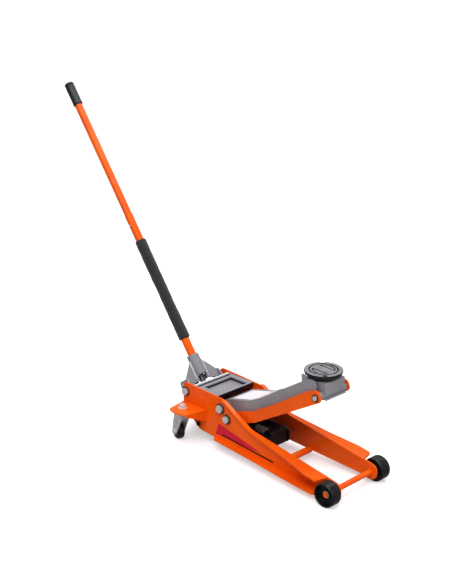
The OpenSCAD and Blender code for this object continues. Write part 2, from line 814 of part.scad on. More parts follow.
module snap_button() {
    color("silver") chassis() at_handle(button_s) rotate([90, 0, 0]) {
        translate([0, 0, 3]) cylinder(d = 9, h = 2);
        cylinder(d = 7, h = lower_tube_d / 2 + 3);
    }
}

// ---------- release linkage ----------

module release_knuckle() {
    color("silver") chassis() translate(yoke_pos) {
        sphere(d = 8, $fn = 40);
        bar_y(4, -4.2, 4.2);
    }
}

module release_spindle() {
    color("silver") chassis() at_spindle() {
        for (s = [-1, 1]) translate([s * 8.5 - 2, -3.5, -16]) cube([4, 7, 19]);
        translate([0, 0, -22]) cylinder(d = 22, h = 7);
        translate([0, 0, -72]) cylinder(d = 14, h = 51);
    }
}

right_side_plate();
left_side_plate();
right_caster_bracket();
left_caster_bracket();
front_axle();
cross_tube();
rear_tie_rod();
tool_tray();
tray_screws();
arm_pivot_shaft();
arm_pivot_nuts();
link_bolts();
yoke_bolts();
right_front_wheel();
left_front_wheel();
wheel_spacers();
axle_clips();
right_caster_fork();
left_caster_fork();
right_caster_wheel();
left_caster_wheel();
caster_axles_right();
caster_axles_left();
caster_races();
caster_nuts();
pump_block();
tank_tube();
gland_nut();
pump_barrels();
block_plugs();
block_spacers();
pump_plungers();
plunger_springs();
ram_rod();
ram_crosshead();
drag_links();
drag_pin();
lift_arm();
arm_crank();
right_link_bar();
left_link_bar();
saddle_bracket();
arm_tip_pin();
link_tip_pins();
link_tip_clips();
saddle_cup();
saddle_pad();
handle_yoke();
pump_roller();
roller_pin();
handle_sleeve();
clamp_screw();
handle_lower_tube();
handle_upper_tube();
foam_grip();
end_cap();
snap_button();
release_knuckle();
release_spindle();
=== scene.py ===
"""Looks of the trolley jack: materials, edges, moulded and foam pieces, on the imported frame."""
import json
import math

import bmesh
import bpy
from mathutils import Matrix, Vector


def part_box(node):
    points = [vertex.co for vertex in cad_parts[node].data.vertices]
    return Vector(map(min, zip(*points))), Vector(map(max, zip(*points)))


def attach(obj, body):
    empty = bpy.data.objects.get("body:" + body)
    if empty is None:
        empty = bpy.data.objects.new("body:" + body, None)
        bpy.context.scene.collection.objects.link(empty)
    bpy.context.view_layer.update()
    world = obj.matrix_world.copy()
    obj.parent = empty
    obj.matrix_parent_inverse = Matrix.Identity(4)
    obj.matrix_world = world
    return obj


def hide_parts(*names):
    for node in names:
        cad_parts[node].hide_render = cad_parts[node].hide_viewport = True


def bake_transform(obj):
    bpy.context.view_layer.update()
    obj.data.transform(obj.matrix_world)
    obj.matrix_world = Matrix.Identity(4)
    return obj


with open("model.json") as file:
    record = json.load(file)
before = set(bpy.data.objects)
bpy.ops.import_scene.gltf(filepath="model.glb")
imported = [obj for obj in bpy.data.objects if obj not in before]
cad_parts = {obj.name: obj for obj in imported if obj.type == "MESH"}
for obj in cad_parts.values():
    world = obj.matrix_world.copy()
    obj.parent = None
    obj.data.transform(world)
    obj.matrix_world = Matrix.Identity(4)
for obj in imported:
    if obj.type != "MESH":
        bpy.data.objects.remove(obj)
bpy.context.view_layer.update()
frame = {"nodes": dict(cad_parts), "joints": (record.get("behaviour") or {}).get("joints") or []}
NODES = frame["nodes"]
JOINT = {j["name"]: j for j in frame["joints"]}
MM = 0.001


# ---------- small helpers ----------

def link(tree, a, b):
    """Joins an output socket to an input socket."""
    tree.links.new(a, b)


def math_node(tree, operation, a, b=None):
    """A Math node whose inputs are sockets or numbers."""
    n = tree.nodes.new("ShaderNodeMath")
    n.operation = operation
    for i, value in enumerate((a, b)):
        if value is None:
            continue
        if isinstance(value, (int, float)):
            n.inputs[i].default_value = value
        else:
            link(tree, value, n.inputs[i])
    return n.outputs[0]


def both(tree, a, b):
    """1 where two masks are 1: their product."""
    return math_node(tree, "MULTIPLY", a, b)


def above(tree, value, limit):
    """1 where a value is over a limit."""
    return math_node(tree, "GREATER_THAN", value, limit)


def below(tree, value, limit):
    """1 where a value is under a limit."""
    return math_node(tree, "LESS_THAN", value, limit)


def within(tree, value, low, high):
    """1 where a value lies between two numbers."""
    return both(tree, above(tree, value, low), below(tree, value, high))


def spread(tree, fac, low, high, to_low=0.0, to_high=1.0):
    """A clamped Map Range."""
    n = tree.nodes.new("ShaderNodeMapRange")
    n.inputs["From Min"].default_value = low
    n.inputs["From Max"].default_value = high
    n.inputs["To Min"].default_value = to_low
    n.inputs["To Max"].default_value = to_high
    link(tree, fac, n.inputs["Value"])
    return n.outputs["Result"]


def mix(tree, fac, a, b):
    """Mixes two colours, each a socket or an RGB triple."""
    n = tree.nodes.new("ShaderNodeMix")
    n.data_type = "RGBA"
    if isinstance(fac, (int, float)):
        n.inputs[0].default_value = fac
    else:
        link(tree, fac, n.inputs[0])
    for i, value in ((6, a), (7, b)):
        if isinstance(value, (tuple, list)):
            n.inputs[i].default_value = (*value[:3], 1)
        else:
            link(tree, value, n.inputs[i])
    return n.outputs[2]


def coords(tree, scale=(1, 1, 1)):
    """Object coordinates in metres, which stay with a piece as it moves."""
    tc = tree.nodes.new("ShaderNodeTexCoord")
    mp = tree.nodes.new("ShaderNodeMapping")
    mp.inputs["Scale"].default_value = scale
    link(tree, tc.outputs["Object"], mp.inputs["Vector"])
    return mp.outputs[0]


def noise(tree, vec, scale, detail, rough=0.55):
    """A noise texture's height; scale is in cycles per metre."""
    n = tree.nodes.new("ShaderNodeTexNoise")
    n.inputs["Scale"].default_value = scale
    n.inputs["Detail"].default_value = detail
    n.inputs["Roughness"].default_value = rough
    link(tree, vec, n.inputs["Vector"])
    return n.outputs["Fac"]


def voronoi(tree, vec, scale):
    """The distance to the middle of the nearest cell; scale is in cells per metre."""
    n = tree.nodes.new("ShaderNodeTexVoronoi")
    n.inputs["Scale"].default_value = scale
    link(tree, vec, n.inputs["Vector"])
    return n.outputs["Distance"]


def bump(tree, height, strength, distance, normal=None):
    """A bump from a height, laid on another bump's normal if one is given; distance is in metres."""
    n = tree.nodes.new("ShaderNodeBump")
    n.inputs["Strength"].default_value = strength
    n.inputs["Distance"].default_value = distance
    link(tree, height, n.inputs["Height"])
    if normal is not None:
        link(tree, normal, n.inputs["Normal"])
    return n.outputs[0]


def material(name):
    """A new material, its node tree and its shader."""
    m = bpy.data.materials.new(name)
    m.use_nodes = True
    tree = m.node_tree
    shader = tree.nodes["Principled BSDF"]
    return m, tree, shader


# ---------- paints ----------

PAINT_SPECULAR = 0.22
PRIMER = (0.30, 0.27, 0.25)


def paint(name, light, dark, rough=0.26, coat=0.22, coat_rough=0.06, peel=0.05, worn=0.0, overlay=None):
    """Sprayed enamel: slow tone drift, fine mottle, orange peel, dust-dulled patches.
    worn is how much primer shows through in chips; any worn also lightens the colour, as paint worn thin on
    edges and partly as a painted highlight there. overlay paints printed marks and painted light over the
    colour."""
    m, tree, shader = material(name)
    vec = coords(tree)
    drift = noise(tree, vec, 7.0, 2.0)
    fine = noise(tree, vec, 420.0, 2.0)
    colour = mix(tree, spread(tree, drift, 0.35, 0.65), dark, light)
    colour = mix(tree, spread(tree, fine, 0.3, 0.75, 0.0, 0.10), colour, tuple(0.72 * c for c in dark))
    roughness = spread(tree, noise(tree, vec, 26.0, 4.0), 0.3, 0.7, rough * 0.8, rough * 1.25)
    if worn:
        chips = noise(tree, vec, 160.0, 4.0, 0.65)
        mask = spread(tree, chips, 0.60, 0.68, 0.0, worn)
        # lighter paint on edges: worn thin there, and partly a painted highlight
        thinned_and_lit = tuple(min(1.0, c * 1.25 + 0.02) for c in light)
        colour = mix(tree, 0.35, colour, thinned_and_lit)
        colour = mix(tree, mask, colour, PRIMER)
        roughness = math_node(tree, "ADD", roughness, math_node(tree, "MULTIPLY", mask, 0.25))
    if overlay is not None:
        colour = overlay(tree, colour)
    link(tree, colour, shader.inputs["Base Color"])
    link(tree, roughness, shader.inputs["Roughness"])
    shader.inputs["Specular IOR Level"].default_value = PAINT_SPECULAR
    shader.inputs["Coat Weight"].default_value = coat
    shader.inputs["Coat Roughness"].default_value = coat_rough
    peel_height = noise(tree, vec, 520.0, 1.0, 0.4)
    wave = noise(tree, vec, 60.0, 2.0, 0.5)
    normal = bump(tree, peel_height, peel, 0.0006)
    link(tree, bump(tree, wave, peel, 0.0016, normal), shader.inputs["Normal"])
    return m


ORANGE = (0.87, 0.135, 0.006)
ORANGE_DARK = (0.80, 0.108, 0.004)
GREY = (0.300, 0.292, 0.318)
GREY_DARK = (0.255, 0.248, 0.270)
# lighter grey for bevelled edges: paint worn thin there, and partly a painted highlight
GREY_EDGE = tuple(1.2 * c for c in GREY)
BLACK = (0.014, 0.014, 0.016)
BLACK_DARK = (0.009, 0.009, 0.010)
# lighter black for bevelled edges: paint worn thin there, and partly a painted highlight
BLACK_EDGE = (0.040, 0.040, 0.045)
# a deep black for printed marks, for painted shade in the tray's groove, and for the dark tone of black
# paint's edges
PRINT_AND_SHADE_BLACK = (0.02, 0.02, 0.022)


def position(tree):
    """Separate X, Y, Z of a point and of its surface's normal, in the object's coordinates."""
    tc = tree.nodes.new("ShaderNodeTexCoord")
    sep = tree.nodes.new("ShaderNodeSeparateXYZ")
    link(tree, tc.outputs["Object"], sep.inputs[0])
    nrm = tree.nodes.new("ShaderNodeSeparateXYZ")
    link(tree, tc.outputs["Normal"], nrm.inputs[0])
    return sep.outputs, nrm.outputs


def distance_along(tree, x, z, nx, nz):
    """How far the point (x, z) lies along the direction (nx, nz)."""
    return math_node(tree, "ADD", math_node(tree, "MULTIPLY", x, nx), math_node(tree, "MULTIPLY", z, nz))


PRINT_EDGE = 0.4 * MM    # how far a printed mark's edge fades to each side


def inside(tree, x, z, corners):
    """1 inside a convex outline of (x, z) corners, listed anticlockwise, with a crisp printed edge."""
    total = None
    for i, (x0, z0) in enumerate(corners):
        x1, z1 = corners[(i + 1) % len(corners)]
        length = math.hypot(x1 - x0, z1 - z0)
        nx, nz = -(z1 - z0) / length, (x1 - x0) / length
        dist = distance_along(tree, x, z, nx, nz)
        dist = math_node(tree, "SUBTRACT", dist, x0 * nx + z0 * nz)
        edge = spread(tree, dist, -PRINT_EDGE, PRINT_EDGE)
        total = edge if total is None else both(tree, total, edge)
    return total


AXLE_X = JOINT["right_wheel_spin"]["pos_m"][0]


def on_chassis(points):
    """(x, z) points in millimetres from the front axle, in the row frame."""
    return [(AXLE_X + x * MM, z * MM) for x, z in points]


WEB_DEPTH = 10.5 * MM    # from the yoke bolts' ends in to the side plates' outer faces
FLASH = on_chassis([(-508, 51), (-297, 52), (-494, 93)])
FLASH_RED = (0.60, 0.012, 0.045)
STRIPE = on_chassis([(-478, 53), (-249, 37), (-249, 43), (-478, 59)])


def plate_marks(tree, colour):
    """A plain tapered flash and a plain stripe on the outer face of a side plate."""
    pos, nrm = position(tree)
    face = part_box("yoke_bolts")[1][1] - WEB_DEPTH
    sideways = above(tree, math_node(tree, "ABSOLUTE", nrm["Y"]), 0.9)
    off_face = math_node(tree, "SUBTRACT", math_node(tree, "ABSOLUTE", pos["Y"]), face)
    near = below(tree, math_node(tree, "ABSOLUTE", off_face), 1 * MM)
    outer = both(tree, sideways, near)
    flash = inside(tree, pos["X"], pos["Z"], FLASH)
    stripe = inside(tree, pos["X"], pos["Z"], STRIPE)
    colour = mix(tree, both(tree, flash, outer), colour, FLASH_RED)
    return mix(tree, both(tree, stripe, outer), colour, PRINT_AND_SHADE_BLACK)


# Parts of the tool tray painted with light and shade: a painted highlight on the rolled lip, and painted
# shade in the groove, on the recess walls and on the front face
LIP_TO = 8 * MM                               # from the tray's rear edge
# near-white: a painted highlight on the rolled lip
LIP_PAINTED_HIGHLIGHT = (0.80, 0.80, 0.82)
GROOVE_FROM, GROOVE_TO = 15 * MM, 27 * MM     # from the rear edge
GROOVE_DOWN = 1 * MM                          # from the top
RECESS_REAR, RECESS_FRONT = 31 * MM, 6 * MM   # in from the rear and front edges
RECESS_HALF = 64 * MM                         # half its width
RECESS_DOWN = 4.4 * MM                        # from the top
# near-black: painted shade on the steep walls of the recess
RECESS_WALL_PAINTED_SHADE = (0.016, 0.014, 0.020)
FRONT_FACE = 3 * MM                           # in from the front edge
# dark red: painted shade on the front face, tinted as a painted reflection of the orange paint
FRONT_PAINTED_SHADE = (0.030, 0.012, 0.012)


def tray_painted_light(tree, colour):
    """A tray with painted shade on its recess walls, in its groove and on its front face, and a painted
    highlight on its rolled lip.
    """
    pos, nrm = position(tree)
    low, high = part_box("tool_tray")
    upward = above(tree, nrm["Z"], 0.7)
    steep = math_node(tree, "SUBTRACT", 1.0, upward)
    in_x = within(tree, pos["X"], low[0] + RECESS_REAR, high[0] - RECESS_FRONT)
    in_y = within(tree, pos["Y"], -RECESS_HALF, RECESS_HALF)
    recess = both(tree, both(tree, in_x, in_y), below(tree, pos["Z"], high[2] - RECESS_DOWN))
    front = above(tree, pos["X"], high[0] - FRONT_FACE)
    lip = below(tree, pos["X"], low[0] + LIP_TO)
    groove_x = within(tree, pos["X"], low[0] + GROOVE_FROM, low[0] + GROOVE_TO)
    groove = both(tree, groove_x, below(tree, pos["Z"], high[2] - GROOVE_DOWN))
    # painted highlight on the lip; painted shade in the groove, on the recess walls and on the front face
    colour = mix(tree, lip, colour, LIP_PAINTED_HIGHLIGHT)
    colour = mix(tree, groove, colour, PRINT_AND_SHADE_BLACK)
    colour = mix(tree, both(tree, recess, steep), colour, RECESS_WALL_PAINTED_SHADE)
    return mix(tree, both(tree, front, steep), colour, FRONT_PAINTED_SHADE)


PATCH_FROM, PATCH_TO = 26 * MM, 150 * MM    # along the arm from its pivot
PATCH_HALF = 46 * MM                        # half its width
PATCH_PALE = (0.86, 0.83, 0.87)


def arm_patch(tree, colour):
    """A plain pale patch on the rear of the arm's top plate."""
    pos, nrm = position(tree)
    pivot = Vector(JOINT["arm_lift"]["pos_m"])
    arm = (Vector(JOINT["saddle_level"]["pos_m"]) - pivot).normalized()
    run = distance_along(tree, pos["X"], pos["Z"], arm.x, arm.z)
    run = math_node(tree, "SUBTRACT", run, pivot.dot(arm))
    upward = above(tree, nrm["Z"], 0.6)
    in_y = within(tree, pos["Y"], -PATCH_HALF, PATCH_HALF)
    patch = both(tree, within(tree, run, PATCH_FROM, PATCH_TO), in_y)
    return mix(tree, both(tree, patch, upward), colour, PATCH_PALE)


orange = paint("orange_paint", ORANGE, ORANGE_DARK)
orange_edge = paint("orange_paint_edge", ORANGE, ORANGE_DARK, rough=0.3, coat=0.3, worn=0.5)
orange_marked = paint("orange_paint_marked", ORANGE, ORANGE_DARK, overlay=plate_marks)
grey = paint("grey_paint", GREY, GREY_DARK, rough=0.30, coat=0.35, coat_rough=0.12)
# the tray's grey paint, with a painted highlight and painted shade laid over it
grey_tray = paint("grey_paint_tray", GREY, GREY_DARK, rough=0.30, coat=0.35, coat_rough=0.12,
                  overlay=tray_painted_light)
grey_arm = paint("grey_paint_arm", GREY, GREY_DARK, rough=0.28, coat=0.4, coat_rough=0.10,
                 overlay=arm_patch)
grey_edge = paint("grey_paint_edge", GREY_EDGE, GREY, rough=0.34, coat=0.3, worn=0.4)
black = paint("black_paint", BLACK, BLACK_DARK, rough=0.34, coat=0.25, coat_rough=0.2, peel=0.12)
black_edge = paint("black_paint_edge", BLACK_EDGE, PRINT_AND_SHADE_BLACK, rough=0.36, coat=0.2, worn=0.4)
# near-white paint for the yoke's weld beads: a painted highlight along the socket's joint
bead_painted_highlight = paint("yoke_bead_painted_highlight", (0.86, 0.85, 0.87), (0.74, 0.73, 0.75), rough=0.2, coat=0.5)


# ---------- metals ----------

def metal(name, light, dark, rough, streak=None, tint=None, pit=0.03, metallic=1.0, overlay=None):
    """Plated or ground steel: cloudy brightness, fine streaks, faint colour of the passivation."""
    m, tree, shader = material(name)
    shader.inputs["Metallic"].default_value = metallic
    vec = coords(tree)
    cloud = noise(tree, vec, 60.0, 4.0)
    colour = mix(tree, spread(tree, cloud, 0.3, 0.7), dark, light)
    if tint:
        colour = mix(tree, spread(tree, noise(tree, vec, 35.0, 2.0), 0.52, 0.70, 0.0, 0.45), colour, tint)
    if overlay is not None:
        colour = overlay(tree, colour)
    link(tree, colour, shader.inputs["Base Color"])
    fine = noise(tree, coords(tree, streak) if streak else vec, 900.0, 2.0)
    link(tree, spread(tree, fine, 0.25, 0.75, rough * 0.7, rough * 1.35), shader.inputs["Roughness"])
    link(tree, bump(tree, fine, pit, 0.0004), shader.inputs["Normal"])
    return m


ZINC = (0.86, 0.87, 0.88)
ZINC_DARK = (0.60, 0.61, 0.63)
zinc = metal("zinc_plate", ZINC, ZINC_DARK, 0.30, tint=(0.80, 0.74, 0.58), metallic=0.55)
polished = metal("ground_steel", (0.86, 0.86, 0.87), (0.70, 0.70, 0.71), 0.22,
                 streak=(0.05, 1.0, 1.0), metallic=0.6)
dark_steel = metal("dark_steel", (0.12, 0.115, 0.11), (0.05, 0.048, 0.047), 0.38, pit=0.08)


def flanged(node, head):
    """A bolt's zinc, with painted shade on the flange and shank behind its head, which is that tall."""
    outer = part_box(node)[1][1] - head * MM

    def shade(tree, colour):
        pos, _ = position(tree)
        behind = below(tree, math_node(tree, "ABSOLUTE", pos["Y"]), outer)
        # painted shade: the flange and shank behind the head are darkened
        return mix(tree, behind, colour, (0.10, 0.085, 0.080))

    return metal("zinc_" + node, ZINC, ZINC_DARK, 0.30, metallic=0.55, overlay=shade)


# ---------- plastics, rubber and foam ----------

def moulded(name, light, dark, rough, grain=0.12):
    """Moulded plastic or rubber: fine spark grain, dust in the low spots, light scuffs."""
    m, tree, shader = material(name)
    vec = coords(tree)
    cells = voronoi(tree, vec, 700.0)
    dust = noise(tree, vec, 40.0, 5.0, 0.6)
    colour = mix(tree, spread(tree, dust, 0.42, 0.72), dark, light)
    scratches = noise(tree, coords(tree, (1.0, 0.15, 1.0)), 240.0, 4.0, 0.7)
    scuffed = tuple(min(1.0, 2.2 * c + 0.02) for c in light)
    colour = mix(tree, spread(tree, scratches, 0.60, 0.72, 0.0, 0.25), colour, scuffed)
    link(tree, colour, shader.inputs["Base Color"])
    link(tree, spread(tree, dust, 0.3, 0.7, rough * 0.85, min(1.0, rough * 1.2)), shader.inputs["Roughness"])
    link(tree, bump(tree, cells, grain, 0.0005), shader.inputs["Normal"])
    return m


wheel_black = moulded("wheel_nylon", (0.014, 0.014, 0.016), (0.006, 0.006, 0.007), 0.34, grain=0.05)
# grey for the tops of the pad's raised parts: a painted sheen on the black rubber
pad_top_painted_sheen = moulded("pad_top_painted_sheen", (0.27, 0.265, 0.285), (0.19, 0.186, 0.20), 0.45, grain=0.10)
pad_rubber = moulded("pad_rubber", (0.018, 0.018, 0.020), (0.008, 0.008, 0.009), 0.40, grain=0.10)
cap_black = moulded("cap_plastic", (0.024, 0.024, 0.029), (0.012, 0.012, 0.015), 0.46)
cup_black = moulded("cup_black", (0.026, 0.026, 0.028), (0.012, 0.012, 0.013), 0.36, grain=0.04)


def foam_material():
    """Closed-cell foam: skinned cells, faint fuzz, paler lumps."""
    m, tree, shader = material("grip_foam")
    vec = coords(tree)
    cells = voronoi(tree, vec, 1100.0)
    lumps = noise(tree, vec, 150.0, 4.0, 0.6)
    colour = mix(tree, spread(tree, cells, 0.05, 0.6), (0.009, 0.009, 0.011), (0.026, 0.026, 0.032))
    colour = mix(tree, spread(tree, lumps, 0.35, 0.65, 0.0, 0.5), colour, (0.034, 0.034, 0.041))
    link(tree, colour, shader.inputs["Base Color"])
    shader.inputs["Roughness"].default_value = 0.86
    shader.inputs["Sheen Weight"].default_value = 0.25
    shader.inputs["Sheen Roughness"].default_value = 0.5
    normal = bump(tree, cells, 0.55, 0.0009)
    link(tree, bump(tree, lumps, 0.35, 0.0012, normal), shader.inputs["Normal"])
    return m


foam = foam_material()


# ---------- CAD nodes: edges and materials ----------

SHARP = math.radians(32)    # edges that turn by more than this are softened


def soften(o, width):
    """Rounds a piece's sharp edges, and returns the bevel."""
    bevel = o.modifiers.new("bevel", "BEVEL")
    bevel.width = width * MM
    bevel.segments = 2
    bevel.limit_method = "ANGLE"
    bevel.angle_limit = SHARP
    normals = o.modifiers.new("normals", "WEIGHTED_NORMAL")
    normals.keep_sharp = False
    return bevel


def dress(name, mat, edge, width):
    """Gives a CAD node its material, and softens its sharp edges, which may have one of their own."""
    o = NODES[name]
    o.data.materials.clear()
    o.data.materials.append(mat)
    weld = o.modifiers.new("weld", "WELD")
    weld.merge_threshold = 0.01 * MM
    bevel = soften(o, width)
    bevel.miter_outer = "MITER_ARC"
    if edge is not None:
        o.data.materials.append(edge)
        bevel.material = 1
    for poly in o.data.polygons:
        poly.use_smooth = True
    o.modifiers["normals"].weight = 100


for name in ("right_side_plate", "left_side_plate"):
    dress(name, orange_marked, orange_edge, 0.9)
for name in ("right_caster_bracket", "left_caster_bracket", "right_link_bar", "left_link_bar"):
    dress(name, orange, orange_edge, 0.8)
for name in ("front_axle", "cross_tube", "tray_screws"):
    dress(name, orange, orange_edge, 0.6)
for name in ("handle_lower_tube", "handle_upper_tube"):
    dress(name, orange, orange_edge, 0.5)
dress("tool_tray", grey_tray, None, 0.8)
dress("lift_arm", grey_arm, grey_edge, 0.8)
for name in ("saddle_bracket", "handle_yoke", "arm_tip_pin", "handle_sleeve"):
    dress(name, grey, grey_edge, 0.8)
for name in ("arm_crank", "pump_block", "tank_tube", "gland_nut", "ram_crosshead", "drag_links"):
    dress(name, black, black_edge, 0.9)
for name, head in (("arm_pivot_nuts", 6.5), ("link_bolts", 7.5), ("yoke_bolts", 7.5)):
    dress(name, flanged(name, head), None, 0.6)
for name in ("axle_clips", "wheel_spacers", "right_caster_fork",
             "left_caster_fork", "caster_axles_right", "caster_axles_left", "caster_races", "caster_nuts",
             "pump_barrels", "block_plugs", "clamp_screw", "snap_button"):
    dress(name, zinc, None, 0.45)
for name in ("arm_pivot_shaft", "pump_plungers", "ram_rod", "link_tip_pins", "roller_pin",
             "release_knuckle", "release_spindle"):
    dress(name, polished, None, 0.4)
for name in ("rear_tie_rod", "block_spacers", "drag_pin", "link_tip_clips", "pump_roller"):
    dress(name, dark_steel, None, 0.5)
for name in ("right_front_wheel", "left_front_wheel", "right_caster_wheel", "left_caster_wheel"):
    dress(name, wheel_black, None, 0.8)
dress("saddle_cup", cup_black, None, 0.6)


# ---------- modelled pieces ----------

def new_piece(name, bm, mats, body, node=None):
    """Turns a bmesh into a named piece, which rides on a body if one is given,
    takes its finish from a slot, and may stand for a CAD node."""
    bmesh.ops.recalc_face_normals(bm, faces=bm.faces)
    mesh = bpy.data.meshes.new(name)
    bm.to_mesh(mesh)
    bm.free()
    for poly in mesh.polygons:
        poly.use_smooth = True
    o = bpy.data.objects.new(name, mesh)
    bpy.context.scene.collection.objects.link(o)
    for mat in mats:
        mesh.materials.append(mat)
    if body:
        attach(o, body)
    if node:
        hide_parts(node)
    return o


UP = Vector((0, 0, 1))


def across(direction):
    """Two unit vectors square to a direction and to each other."""
    side = direction.cross(Vector((0, 1, 0))).normalized()
    return side, direction.cross(side).normalized()


def extent(name, origin, direction):
    """Where a CAD node starts and ends along an axis, and its radius about it."""
    points = [v.co - origin for v in NODES[name].data.vertices]
    along = [p.dot(direction) for p in points]
    radius = max((p - direction * p.dot(direction)).length for p in points)
    return min(along), max(along), radius


def skin(bm, a, b):
    """Faces between two rings of corners. A ring of one corner is a point."""
    sides = max(len(a), len(b))
    for i in range(sides):
        j = (i + 1) % sides
        corners = [a[i % len(a)], a[j % len(a)], b[j % len(b)], b[i % len(b)]]
        bm.faces.new(list(dict.fromkeys(corners)))


def turned(bm, origin, direction, profile, segments, wobble=None):
    """A surface of revolution. profile is (distance along, radius) from end to end; it closes on
    itself unless it starts with radius 0. wobble(distance, angle) adds to the radius."""
    side, other = across(direction)
    rings = []
    for along, radius in profile:
        if radius == 0:
            rings.append([bm.verts.new(origin + direction * along)])
            continue
        ring = []
        for i in range(segments):
            a = 2 * math.pi * i / segments
            r = radius + (wobble(along, a) if wobble else 0.0)
            out = side * math.cos(a) + other * math.sin(a)
            ring.append(bm.verts.new(origin + direction * along + out * r))
        rings.append(ring)
    for a, b in zip(rings, rings[1:]):
        skin(bm, a, b)
    if len(rings[0]) > 1:
        skin(bm, rings[-1], rings[0])


def quarter(steps):
    """The angles between the ends of a quarter turn."""
    return [math.pi / 2 * k / steps for k in range(1, steps)]


def middle(node):
    """The middle of a CAD node's box."""
    low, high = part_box(node)
    return (Vector(low) + Vector(high)) / 2


HANDLE_AT = Vector(JOINT["handle_twist"]["pos_m"])
HANDLE_UP = (middle("end_cap") - HANDLE_AT).normalized()


def foam_grip():
    """A foam sleeve with slow waves, a slight waist where a hand holds it, and rolled ends."""
    s0, s1, outer = extent("foam_grip", HANDLE_AT, HANDLE_UP)
    bore = extent("handle_lower_tube", HANDLE_AT, HANDLE_UP)[2] + 0.1 * MM
    inset = 0.8 * MM    # the waves' middle, inside the CAD sleeve
    roll = 5 * MM
    rows = 70

    def radius(t):
        """Two slow waves and a waist, in millimetres, at a share t of the length."""
        wave = 0.25 * math.sin(34 * t) + 0.2 * math.sin(61 * t + 1.0)
        waist = 0.5 * math.exp(-((t - 0.45) / 0.18) ** 2)
        return outer - inset + (wave - waist) * MM

    profile = [(s0, bore), (s0, radius(0) - roll)]
    for a in quarter(8):
        profile.append((s0 + roll * (1 - math.cos(a)), radius(0) - roll + roll * math.sin(a)))
    for k in range(rows + 1):
        t = k / rows
        profile.append((s0 + roll + (s1 - s0 - 2 * roll) * t, radius(t)))
    for a in reversed(quarter(8)):
        profile.append((s1 - roll * (1 - math.cos(a)), radius(1) - roll + roll * math.sin(a)))
    profile += [(s1, radius(1) - roll), (s1, bore)]

    def wobble(along, angle):
        """Faint dents round the sleeve, away from its rolled ends."""
        if along < s0 + roll or along > s1 - roll:
            return 0.0
        return (0.22 * math.sin(3 * angle + 40 * along) + 0.15 * math.sin(5 * angle - 70 * along)) * MM

    bm = bmesh.new()
    turned(bm, HANDLE_AT, HANDLE_UP, profile, 56, wobble)
    o = new_piece("foam_sleeve", bm, [foam], "handle", "foam_grip")


def end_cap():
    """A moulded cap: a domed end, a shallow groove and a rolled rim."""
    s0, s1, outer = extent("end_cap", HANDLE_AT, HANDLE_UP)
    bore = extent("handle_upper_tube", HANDLE_AT, HANDLE_UP)[2]
    bottom = s1 - 22 * MM    # where the bore ends
    groove = s1 - 12 * MM    # the middle of the groove
    dome = 6 * MM            # the height of the domed end
    side = outer - 0.5 * MM
    dip = outer - 1.3 * MM
    profile = [(bottom, 0), (bottom, bore), (s0, bore)]
    profile += [(s0, outer - 1.2 * MM), (s0 + 0.4 * MM, outer - 0.4 * MM), (s0 + 1.4 * MM, outer)]
    profile += [(s0 + 5 * MM, outer), (s0 + 6 * MM, side), (groove - 3 * MM, side)]
    profile += [(groove - 1.2 * MM, side), (groove - 0.8 * MM, dip)]
    profile += [(groove + 0.8 * MM, dip), (groove + 1.2 * MM, side)]
    profile.append((s1 - dome, side))
    for a in (*quarter(8), math.pi / 2):
        profile.append((s1 - dome + dome * math.sin(a), side * (1 - 0.55 * (1 - math.cos(a)))))
    profile.append((s1, 0))
    bm = bmesh.new()
    turned(bm, HANDLE_AT, HANDLE_UP, profile, 56)
    new_piece("handle_end_cap", bm, [cap_black], "handle", "end_cap")


def extruded(bm, outline, bottom, top):
    """A block raised from a flat outline of (x, y), with its top face in the second material."""
    low = [bm.verts.new((x, y, bottom)) for x, y in outline]
    high = [bm.verts.new((x, y, top)) for x, y in outline]
    bm.faces.new(low)
    cap = bm.faces.new(high)
    cap.material_index = 1
    for i in range(len(outline)):
        j = (i + 1) % len(outline)
        bm.faces.new((low[i], low[j], high[j], high[i]))


def arc_block(bm, centre, r0, r1, start, end, bottom, top):
    """A raised block between two radii and two angles in degrees."""
    steps = max(6, int((end - start) / 4))
    angles = [math.radians(start + (end - start) * i / steps) for i in range(steps + 1)]
    outline = [(centre.x + r1 * math.cos(a), centre.y + r1 * math.sin(a)) for a in angles]
    outline += [(centre.x + r0 * math.cos(a), centre.y + r0 * math.sin(a)) for a in reversed(angles)]
    extruded(bm, outline, bottom, top)


def chord_block(bm, centre, radius, v0, v1, bottom, top):
    """The part of a disc between two lines along X, at v0 and v1 from its centre."""
    steps = 14
    ends = []
    for i in range(steps + 1):
        v = v0 + (v1 - v0) * i / steps
        ends.append((math.sqrt(max(0.0, radius * radius - v * v)), v))
    outline = [(centre.x + x, centre.y + v) for x, v in ends]
    outline += [(centre.x - x, centre.y + v) for x, v in reversed(ends)]
    extruded(bm, outline, bottom, top)


